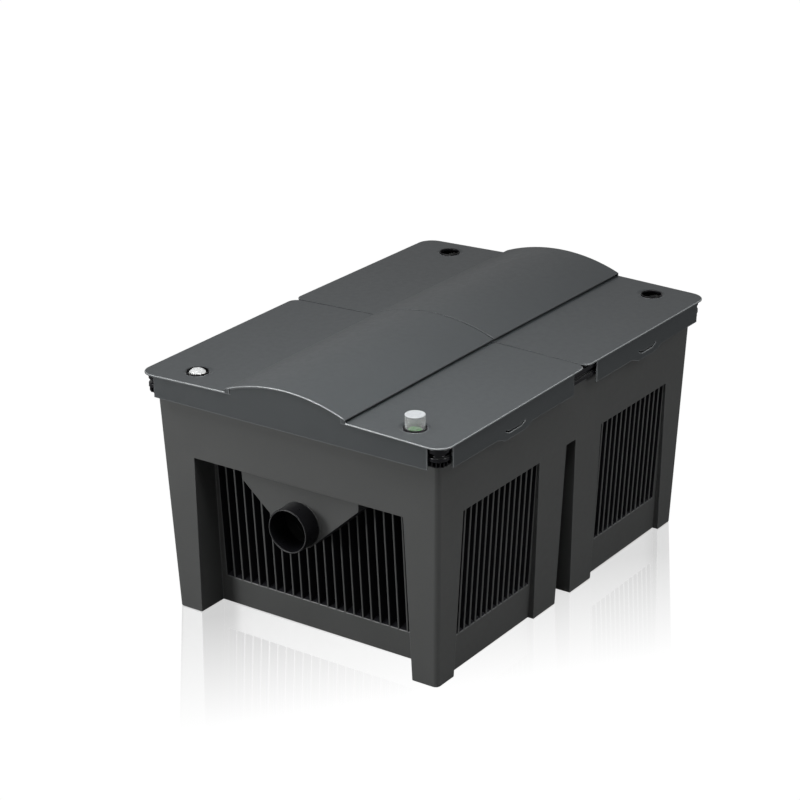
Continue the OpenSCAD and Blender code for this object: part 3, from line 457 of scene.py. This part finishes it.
def mended(mesh):
    """Gives broad plates one flat normal, and refills the faces that Blender's own filling would spread
    past their outline. All other shading stays as it is."""
    kept = mesh.attributes.new("kept_normal", "FLOAT_VECTOR", "CORNER")
    kept.data.foreach_set("vector", [c for corner in mesh.corner_normals for c in corner.vector])
    work = bmesh.new()
    work.from_mesh(mesh)
    layer = work.loops.layers.float_vector["kept_normal"]
    for face in flat_plates(work):
        for loop in face.loops:
            loop[layer] = face.normal
    filled = {}
    for loops in work.calc_loop_triangles():
        a, b, c = (loop.vert.co for loop in loops)
        face = loops[0].face
        filled[face] = filled.get(face, 0) + (b - a).cross(c - a).length / 2
    for face, area in filled.items():
        if len(face.verts) > 3 and area - face.calc_area() > 1e-8 + 1e-3 * face.calc_area():
            refilled(work, face, layer)
    work.to_mesh(mesh)
    work.free()
    normals = mesh.attributes["kept_normal"]
    mesh.normals_split_custom_set([Vector(corner.vector) for corner in normals.data])
    mesh.attributes.remove(mesh.attributes["kept_normal"])


def softened(node, name, width, segments, highlight_paint=None):
    """A copy of a CAD node with flat faces merged and its sharp edges rounded, as a mould leaves them.

    Each edge is rounded by the given width, or by less where its neighbours leave less room. The roundings get
    a lighter material of their own where one is named, a painted highlight."""
    source = frame["nodes"][node]
    mesh = source.data.copy()
    work = bmesh.new()
    work.from_mesh(mesh)
    bmesh.ops.remove_doubles(work, verts=work.verts, dist=2e-6)
    bmesh.ops.dissolve_limit(work, angle_limit=math.radians(0.4), verts=work.verts, edges=work.edges)
    for face in work.faces:
        face.smooth = True
    weight = work.edges.layers.float.new("bevel_weight_edge")
    sharp = {edge for edge in work.edges
             if len(edge.link_faces) == 2 and edge.calc_face_angle(0) > math.radians(SHARP)}
    for edge in sharp:
        room = min(room_beside(edge, edge.verts[0], sharp), room_beside(edge, edge.verts[1], sharp))
        edge[weight] = max(0.0, min(1.0, room / width))
    work.to_mesh(mesh)
    work.free()
    if "custom_normal" in mesh.attributes:
        mesh.attributes.remove(mesh.attributes["custom_normal"])
    # The bevel can only give out a material slot that the mesh has
    while highlight_paint and len(mesh.materials) < 2:
        mesh.materials.append(MATERIALS[highlight_paint])
    holder = bpy.data.objects.new("holder", mesh)
    bpy.context.scene.collection.objects.link(holder)
    bevel = {"width": width, "segments": segments, "limit_method": "WEIGHT",
             "harden_normals": True, "use_clamp_overlap": False, "material": 1 if highlight_paint else -1}
    rounded = applied(holder, [("BEVEL", bevel)])
    bpy.data.objects.remove(holder)
    mended(rounded)
    rounded.name = name
    slots = [0] * len(rounded.polygons)
    rounded.polygons.foreach_get("material_index", slots)
    made = piece(name, rounded, BODY_OF[node], SLOT_OF[node], [node])
    if highlight_paint:
        made.data.materials.append(MATERIALS[highlight_paint])
        made.data.polygons.foreach_set("material_index", slots)
    return made


def smooth_mesh(work, name, angle=35, doubles=True):
    """Turns a bmesh into a mesh that is smooth up to the given angle, its faces turned outwards."""
    if doubles:
        bmesh.ops.remove_doubles(work, verts=work.verts, dist=1e-7)
    bmesh.ops.recalc_face_normals(work, faces=work.faces)
    for face in work.faces:
        face.smooth = True
    mesh = bpy.data.meshes.new(name)
    work.to_mesh(mesh)
    work.free()
    mesh.set_sharp_from_angle(angle=math.radians(angle))
    return mesh


def add_lathe(work, profile, centre=(0, 0), steps=64, flutes=0, flute_deep=0.0, matrix=None):
    """Adds an outline of (radius, height) points turned about an upright line. An outline that starts and
    ends on the line is closed by it; any other is joined end to start. Flutes pull some radii in."""
    on_axis = profile[0][0] < 1e-9
    rings = []
    for radius, height in profile:
        if radius < 1e-9:
            rings.append([work.verts.new((centre[0], centre[1], height))])
            continue
        ring = []
        for i in range(steps):
            a = 2 * math.pi * i / steps
            r = radius - (flute_deep * (0.5 - 0.5 * math.cos(flutes * a)) if flutes else 0)
            ring.append(work.verts.new((centre[0] + r * math.cos(a), centre[1] + r * math.sin(a), height)))
        rings.append(ring)
    pairs = list(zip(rings, rings[1:])) + ([] if on_axis else [(rings[-1], rings[0])])
    for low, high in pairs:
        for i in range(steps):
            j = (i + 1) % steps
            if len(low) == 1 and len(high) == 1:
                continue
            if len(low) == 1:
                work.faces.new((low[0], high[i], high[j]))
            elif len(high) == 1:
                work.faces.new((low[i], high[0], low[j]))
            else:
                work.faces.new((low[i], high[i], high[j], low[j]))
    if matrix is not None:
        bmesh.ops.transform(work, matrix=matrix, verts=[v for ring in rings for v in ring])


def arc(centre_r, centre_z, radius, start, end, count=5):
    """Points of a profile's rounded corner, angles in degrees from the outward direction."""
    return [(max(0.0, centre_r + radius * math.cos(math.radians(start + (end - start) * i / count))),
             centre_z + radius * math.sin(math.radians(start + (end - start) * i / count)))
            for i in range(count + 1)]


def node_frame(node):
    """Centre, half width, bottom and top of an upright round node."""
    low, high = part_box(node)
    return ((low[0] + high[0]) / 2, (low[1] + high[1]) / 2), (high[0] - low[0]) / 2, low[2], high[2]


def add_box(work, low, high, matrix=None):
    made = bmesh.ops.create_cube(work, size=1.0)["verts"]
    middle = (Vector(low) + Vector(high)) / 2
    size = Vector(high) - Vector(low)
    for v in made:
        v.co = Vector((v.co.x * size.x, v.co.y * size.y, v.co.z * size.z)) + middle
    if matrix is not None:
        bmesh.ops.transform(work, matrix=matrix, verts=made)


# ---------- Foams ----------

FOAM_GRID = 4.5 * MM
FOAM_ROUGH = 0.9 * MM


def make_foams():
    """Cut foam blocks: slightly crowned sides, soft corners, torn cells over the whole skin."""
    texture = bpy.data.textures.new("cells", "CLOUDS")
    texture.noise_scale = 0.012
    texture.noise_depth = 2
    for end in ("front", "rear"):
        for kind in ("coarse", "medium", "fine"):
            node = f"{end}_{kind}_foam"
            mesh = frame["nodes"][node].data.copy()
            holder = bpy.data.objects.new("holder", mesh)
            bpy.context.scene.collection.objects.link(holder)
            size = FOAM_GRID * {"coarse": 1.0, "medium": 0.9, "fine": 0.85}[kind]
            rough = FOAM_ROUGH * {"coarse": 1.0, "medium": 0.8, "fine": 0.55}[kind]
            cut = applied(holder, [
                ("REMESH", {"mode": "VOXEL", "voxel_size": size, "use_smooth_shade": True}),
                ("SMOOTH", {"factor": 0.5, "iterations": 3}),
                ("DISPLACE", {"texture": texture, "texture_coords": "LOCAL", "strength": -2 * rough,
                              "mid_level": 0.35}),
            ])
            bpy.data.objects.remove(holder)
            cut.name = node + "_block"
            made = piece(node + "_block", cut, BODY_OF[node], SLOT_OF[node], [node])
            low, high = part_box(node)
            # Nothing swells past the block the squeezer moves in
            for vertex in made.data.vertices:
                for axis in range(3):
                    vertex.co[axis] = min(high[axis], max(low[axis], vertex.co[axis]))
            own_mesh(made)


# ---------- Biological media ----------

def make_media():
    """Loose-looking tubes with fluted skins and a cross inside, in the basket's grid."""
    random.seed(7)
    low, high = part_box("bio_media")
    columns, rows, layers = 10, 2, 3
    outer, bore, tall = 15.5 * MM, 13.3 * MM, 36 * MM
    step_x = (high[0] - low[0] - 2 * outer) / (columns - 1)
    step_y = (high[1] - low[1] - 2 * outer) / (rows - 1)
    step_z = (high[2] - low[2] - tall) / (layers - 1)
    work = bmesh.new()
    for i in range(columns):
        for j in range(rows):
            for k in range(layers):
                middle = Vector((low[0] + outer + i * step_x, low[1] + outer + j * step_y,
                                 low[2] + k * step_z))
                turned = Matrix.Translation(middle) @ Matrix.Rotation(random.uniform(0, math.pi), 4, "Z")
                edge = 0.5 * MM
                outline = [(bore, edge), (bore + edge, 0), (outer - edge, 0), (outer, edge),
                           (outer, tall - edge), (outer - edge, tall), (bore + edge, tall),
                           (bore, tall - edge)]
                add_lathe(work, outline, steps=72, flutes=18, flute_deep=0.9 * MM, matrix=turned)
                for turn in (0, 90):
                    web = turned @ Matrix.Rotation(math.radians(turn), 4, "Z")
                    half, thick, inset = bore + 0.3 * MM, 0.8 * MM, 1 * MM
                    add_box(work, (-half, -thick, inset), (half, thick, tall - inset), matrix=web)
    mesh = smooth_mesh(work, "media_rings", doubles=False)
    piece("media_rings", mesh, BODY_OF["bio_media"], SLOT_OF["bio_media"], ["bio_media"])


# ---------- Screws, rods ----------

def cross_cutter(work, half, wide, deep, matrix):
    """Two crossed wedges that narrow with depth, for a screw's recess."""
    for turn in (0, 90):
        made = bmesh.ops.create_cube(work, size=1.0)["verts"]
        spin = Matrix.Rotation(math.radians(turn), 4, "Z")
        for v in made:
            narrow = 0.45 if v.co.z < 0 else 1.0
            v.co = spin @ Vector((2 * half * narrow * v.co.x, wide * v.co.y, deep * 2 * v.co.z))
        bmesh.ops.transform(work, matrix=matrix, verts=made)


def islands(mesh):
    """Boxes of the separate solids in a mesh, as (lowest, highest) corners."""
    work = bmesh.new()
    work.from_mesh(mesh)
    bmesh.ops.remove_doubles(work, verts=work.verts, dist=2e-6)
    left, found = set(work.verts), []
    while left:
        group, queue = [], [left.pop()]
        while queue:
            vertex = queue.pop()
            group.append(vertex.co.copy())
            for edge in vertex.link_edges:
                other = edge.other_vert(vertex)
                if other in left:
                    left.discard(other)
                    queue.append(other)
        found.append((Vector([min(p[a] for p in group) for a in range(3)]),
                      Vector([max(p[a] for p in group) for a in range(3)])))
    work.free()
    return sorted(found, key=lambda pair: tuple(round(c, 4) for c in pair[0]))


def make_screws():
    """Pan heads with a cross recess and threaded shanks, each where its CAD screw stands."""
    random.seed(3)
    for node in ("front_grid_screws", "rear_grid_screws", "stand_screws", "drain_screws"):
        sideways = node == "drain_screws"
        solids, recess = bmesh.new(), bmesh.new()
        for low, high in islands(frame["nodes"][node].data):
            axis = 0 if sideways else 2
            middle = (low + high) / 2
            head_r = (high[1] - low[1]) / 2
            shank_r = 1.95 * MM
            head = 2.3 * MM if sideways else 2.6 * MM
            long = high[axis] - low[axis]
            # Built with its top at z = 0 and its point downwards, then set in place
            outline = [(0, 0), (head_r * 0.55, -0.05 * MM), (head_r * 0.85, -0.5 * MM), (head_r, -1.3 * MM),
                       (head_r, -head + 0.15 * MM), (head_r - 0.15 * MM, -head), (shank_r, -head)]
            z, pitch = -head - 0.4 * MM, 1.0 * MM
            while z - pitch > -long + 0.8 * MM:
                outline += [(shank_r, z), (shank_r - 0.45 * MM, z - pitch / 2)]
                z -= pitch
            outline += [(shank_r - 0.4 * MM, -long + 0.6 * MM), (0.4 * MM, -long), (0, -long)]
            if sideways:
                place = (Matrix.Translation((low[0], middle[1], middle[2]))
                         @ Matrix.Rotation(-math.pi / 2, 4, "Y"))
            else:
                place = Matrix.Translation((middle[0], middle[1], high[2]))
            add_lathe(solids, outline, steps=40, matrix=place)
            spin = place @ Matrix.Rotation(random.uniform(0, math.pi / 2), 4, "Z")
            cross_cutter(recess, 2.1 * MM, 0.9 * MM, 1.3 * MM, spin)
        cut = [bpy.data.objects.new("solid", smooth_mesh(solids, "solid")),
               bpy.data.objects.new("recess", smooth_mesh(recess, "recess", doubles=False))]
        for thing in cut:
            bpy.context.scene.collection.objects.link(thing)
        mesh = applied(cut[0], [("BOOLEAN", {"object": cut[1], "operation": "DIFFERENCE", "solver": "EXACT",
                                             "use_self": True})])
        for thing in cut:
            bpy.data.objects.remove(thing)
        mesh.set_sharp_from_angle(angle=math.radians(35))
        mesh.name = node + "_set"
        piece(node + "_set", mesh, BODY_OF[node], SLOT_OF[node], [node])


def make_rods():
    """Stainless pull rods with rolled threads at both ends and chamfered tips."""
    thread_low, thread_high = 26 * MM, 22 * MM
    for end in ("front", "rear"):
        node = f"{end}_pull_rods"
        work = bmesh.new()
        for low, high in islands(frame["nodes"][node].data):
            radius, tip = (high[0] - low[0]) / 2, 1 * MM
            root, pitch = radius - 0.55 * MM, 1.25 * MM
            outline = [(0, low[2]), (radius - tip, low[2]), (radius - 0.3 * MM, low[2] + tip)]
            z = low[2] + tip + 0.4 * MM
            while z < low[2] + thread_low:
                outline += [(root, z), (radius, z + pitch / 2)]
                z += pitch
            outline += [(radius, low[2] + thread_low + pitch), (radius, high[2] - thread_high - pitch)]
            z = high[2] - thread_high
            while z + pitch < high[2] - tip - 0.4 * MM:
                outline += [(root, z), (radius, z + pitch / 2)]
                z += pitch
            outline += [(radius - 0.3 * MM, high[2] - tip), (radius - tip, high[2]), (0, high[2])]
            add_lathe(work, outline, ((low[0] + high[0]) / 2, (low[1] + high[1]) / 2), steps=48)
        mesh = smooth_mesh(work, node + "_pair", angle=28)
        piece(node + "_pair", mesh, BODY_OF[node], SLOT_OF[node], [node])


# ---------- Instruments ----------

def make_indicator():
    """Frosted cap with a ringed top, and the green flag on its stem."""
    centre, radius, low, top = node_frame("indicator_cap")
    plug, bore, inner = 12.4 * MM, 10.6 * MM, radius - 1.8 * MM
    shoulder, step, ceiling = low + 11.1 * MM, low + 13 * MM, top - 2.5 * MM
    round_r = 1.5 * MM
    work = bmesh.new()
    outline = [(0, ceiling)] + arc(inner - 0.6 * MM, ceiling - 0.6 * MM, 0.6 * MM, 90, 0, 4)
    outline += [(inner, step + 0.3 * MM), (inner - 0.4 * MM, step), (bore, step), (bore, low + 0.3 * MM),
                (bore + 0.3 * MM, low), (plug - 0.4 * MM, low), (plug, low + 0.5 * MM), (plug, shoulder),
                (radius - 0.4 * MM, shoulder), (radius, shoulder + 0.4 * MM)]
    outline += arc(radius - round_r, top - round_r, round_r, 0, 90, 6)
    outline += [(9.4 * MM, top), (9.0 * MM, top - 0.45 * MM), (8.0 * MM, top - 0.45 * MM), (7.6 * MM, top),
                (0, top - 0.1 * MM)]
    add_lathe(work, outline, centre, steps=96)
    made = piece("indicator_cap_shell", smooth_mesh(work, "indicator_cap_shell"), BODY_OF["indicator_cap"],
                 SLOT_OF["indicator_cap"], ["indicator_cap"], MATERIALS["frosted_side"])
    made.data.materials.append(MATERIALS["frosted_top"])
    for face in made.data.polygons:
        if face.normal.z > 0.3 and face.center.z > top - round_r:
            face.material_index = 1

    centre, radius, low, top = node_frame("indicator_stem")
    neck, plate = 1.5 * MM, top - 7.5 * MM
    work = bmesh.new()
    outline = [(0, low), (neck - 0.3 * MM, low), (neck, low + 0.3 * MM), (neck, plate - 2.5 * MM),
               (neck + 2.5 * MM, plate)]
    outline += arc(radius - 0.8 * MM, plate + 0.8 * MM, 0.8 * MM, -90, 0, 4)
    outline += arc(radius - 1.2 * MM, top - 1.6 * MM, 1.2 * MM, 0, 80, 5)
    outline += [(0.6 * radius, top - 0.15 * MM), (0, top)]
    add_lathe(work, outline, centre, steps=72)
    piece("indicator_flag", smooth_mesh(work, "indicator_flag"), BODY_OF["indicator_stem"],
          SLOT_OF["indicator_stem"], ["indicator_stem"])


def make_thermometer():
    """Dome, dial with its scale of ticks, and a tapered needle on a hub."""
    centre, radius, low, top = node_frame("thermometer_lens")
    tall = top - low
    ball = (radius ** 2 + tall ** 2) / (2 * tall)
    inner = ball - 1.4 * MM
    middle = top - ball
    foot = math.sqrt(inner ** 2 - (low - middle) ** 2)
    reach, reach_in = math.degrees(math.asin(radius / ball)), math.degrees(math.asin(foot / inner))
    work = bmesh.new()
    outline = arc(0, middle, inner, 90, 90 - reach_in, 10) + arc(0, middle, ball, 90 - reach, 90, 12)
    add_lathe(work, outline, centre, steps=72)
    piece("thermometer_dome", smooth_mesh(work, "thermometer_dome"), BODY_OF["thermometer_lens"],
          SLOT_OF["thermometer_lens"], ["thermometer_lens"], MATERIALS["milky_dome"])

    centre, radius, low, top = node_frame("thermometer_dial")
    work = bmesh.new()
    outline = [(1 * MM, low), (radius - 0.2 * MM, low), (radius, low + 0.2 * MM), (radius, top - 0.2 * MM),
               (radius - 0.2 * MM, top), (1 * MM, top)]
    add_lathe(work, outline, centre, steps=72)
    piece("thermometer_face", smooth_mesh(work, "thermometer_face"), BODY_OF["thermometer_dial"],
          SLOT_OF["thermometer_dial"], ["thermometer_dial"])
    # 27 ticks, 10 degrees apart, with a long one every fifth
    work = bmesh.new()
    for i in range(27):
        turn = Matrix.Translation((*centre, top)) @ Matrix.Rotation(math.radians(-30 + 10 * i), 4, "Z")
        long = 2.6 * MM if i % 5 == 0 else 1.5 * MM
        wide = 0.35 * MM if i % 5 == 0 else 0.2 * MM
        rim = radius - 0.8 * MM
        add_box(work, (rim - long, -wide / 2, -0.1 * MM), (rim, wide / 2, 0.12 * MM), matrix=turn)
    piece("thermometer_scale", smooth_mesh(work, "thermometer_scale", doubles=False),
          BODY_OF["thermometer_dial"], "black_plastic")

    low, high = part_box("thermometer_needle")
    (x, y), deck = centre, high[2] - 1.4 * MM
    work = bmesh.new()
    hub = [(0, low[2]), (0.8 * MM, low[2]), (0.8 * MM, deck), (1.8 * MM, deck),
           (1.8 * MM, high[2] - 0.3 * MM), (1.5 * MM, high[2]), (0, high[2])]
    add_lathe(work, hub, centre, steps=40)
    turn = Matrix.Translation((x, y, deck)) @ Matrix.Rotation(math.radians(120), 4, "Z")
    outline = [(-3, -0.6), (-3, 0.6), (-1, 0.45), (9.2, 0.14), (9.9, 0), (9.2, -0.14), (-1, -0.45)]
    lower = [work.verts.new(turn @ Vector((a * MM, b * MM, 0.1 * MM))) for a, b in outline]
    upper = [work.verts.new(turn @ Vector((a * MM, b * MM, 0.7 * MM))) for a, b in outline]
    work.faces.new(lower)
    work.faces.new(upper)
    for i in range(len(outline)):
        j = (i + 1) % len(outline)
        work.faces.new((lower[i], lower[j], upper[j], upper[i]))
    piece("thermometer_pointer", smooth_mesh(work, "thermometer_pointer", doubles=False),
          BODY_OF["thermometer_needle"], SLOT_OF["thermometer_needle"], ["thermometer_needle"])


# ---------- Finishes and painted shade of the tub and lids ---

# A lid's holes, the reach of their collars, the hump's sides and how far the seam's roundings reach
HOLE_X, HOLE_Y, COLLAR = 198 * MM, 343 * MM, 18.4 * MM
HUMP_X, SEAM = 109.5 * MM, 6 * MM
# The tub's leaning faces and its fins' edges, as (distance from the middle at the floor, lean)
SIDE_FACE, END_FACE = (0.2355, 0.0371), (0.3465, 0.0445)
SIDE_FINS, END_FINS = (0.2333, 0.058), (0.3004, 0.07)
# Where the painted shade on the rim, the stubs and the slots begins and ends
RIM_LOW, RIM_OUT = 0.3595, 9 * MM
STUB_FOOT, STUB_CUT = 0.338, 0.389
SLOT_NEAR, SLOT_FAR = 0.8 * MM, 18.5 * MM
END_PANEL = {"half": 0.1925, "low": 0.044, "high": 0.268}
SIDE_PANEL = {"near": 0.086, "far": 0.311, "low": 0.058, "high": 0.269}


def leaning(face, z):
    """Distance of a leaning face from the tub's middle at a height."""
    return face[0] + face[1] * z


def in_slot(x, y, z):
    """Whether a point lies behind the fins' edges, in the slots of an end recess or of a side panel."""
    behind_end = SLOT_NEAR < leaning(END_FINS, z) - abs(y) < SLOT_FAR
    behind_side = SLOT_NEAR < leaning(SIDE_FINS, z) - abs(x) < SLOT_FAR
    at_end = abs(x) < END_PANEL["half"] and END_PANEL["low"] < z < END_PANEL["high"]
    at_side = (SIDE_PANEL["near"] < abs(y) < SIDE_PANEL["far"]
               and SIDE_PANEL["low"] < z < SIDE_PANEL["high"])
    return (behind_end and at_end) or (behind_side and at_side)


def finish_tub(tub):
    """Painted shade: black on the stubs, near black on the rim's glossy beads and webs under the lids, and near
    black in the slots.
    """
    names = ("rim_gloss_painted_shade", "painted_shade_black", "slot_painted_shade")
    first = len(tub.data.materials)
    for name in names:
        tub.data.materials.append(MATERIALS[name])
    gloss, black, shade = range(first, first + len(names))
    stubs = [(mount["pos_m"], mount["dims"]["r_mm"] * MM) for mount in RECORD["mounts"]
             if mount["name"] in ("inlet_stub", "outlet_stub")]
    for face in tub.data.polygons:
        x, y, z = face.center
        past_x = max(0.0, abs(x) - leaning(SIDE_FACE, z))
        past_y = max(0.0, abs(y) - leaning(END_FACE, z))
        corners = [tub.data.vertices[i].co for i in face.vertices]
        stub = any(all(v.y * pos[1] > 0 and abs(v.y) > STUB_FOOT
                       and math.hypot(v.x - pos[0], v.z - pos[2]) < radius + 0.8 * MM for v in corners)
                   for pos, radius in stubs)
        # Painted shade: the rim under the lids' overhang goes near black
        if z > RIM_LOW and math.hypot(past_x, past_y) > RIM_OUT:
            face.material_index = gloss
        # Painted shade on the stubs' outsides and bores; the cut mouths keep the tub's colour
        elif stub and abs(y) < STUB_CUT:
            face.material_index = black
        # Painted shade in the slots behind the fins
        elif in_slot(x, y, z):
            face.material_index = shade


def finish_lid(lid):
    """Black collars round a lid's two holes, painted shade round the instruments. The roundings at the middle
    seam and beside the hump keep the plate's own colour instead of the painted highlight on the other edges."""
    black = len(lid.data.materials)
    lid.data.materials.append(MATERIALS["painted_shade_black"])
    for face in lid.data.polygons:
        corners = [lid.data.vertices[i].co for i in face.vertices]
        # Painted shade on the collars round the holes
        if all(math.hypot(abs(v.x) - HOLE_X, abs(v.y) - HOLE_Y) < COLLAR for v in corners):
            face.material_index = black
        # The roundings here drop the painted highlight and keep the plate's colour
        beside_hump = abs(abs(face.center.x) - HUMP_X) < SEAM
        if face.material_index == 1 and (abs(face.center.y) < SEAM or beside_hump):
            face.material_index = 0


# ---------- The build ----------

make_camera()
make_floor()
make_lights()
make_materials()

# Width, segments and painted highlight material of a node's rounded edges, where they differ from EDGE
EDGE = (0.6 * MM, 2)
ROUNDING = {"tub": (1.2 * MM, 2, "tub_edge_painted_highlight"), "front_lid": (1.3 * MM, 3, "lid_edge_painted_highlight"),
            "rear_lid": (1.3 * MM, 3, "lid_edge_painted_highlight")}
REMADE = {"bio_media", "indicator_cap", "indicator_stem", "thermometer_lens", "thermometer_dial",
          "thermometer_needle", "front_grid_screws", "rear_grid_screws", "stand_screws", "drain_screws",
          "front_pull_rods", "rear_pull_rods"}
for node in frame["nodes"]:
    if "foam" not in node and node not in REMADE:
        made = softened(node, node + "_piece", *ROUNDING.get(node, EDGE))
        if node == "tub":
            finish_tub(made)
        if node in ("front_lid", "rear_lid"):
            finish_lid(made)
make_foams()
make_media()
make_screws()
make_rods()
make_indicator()
make_thermometer()
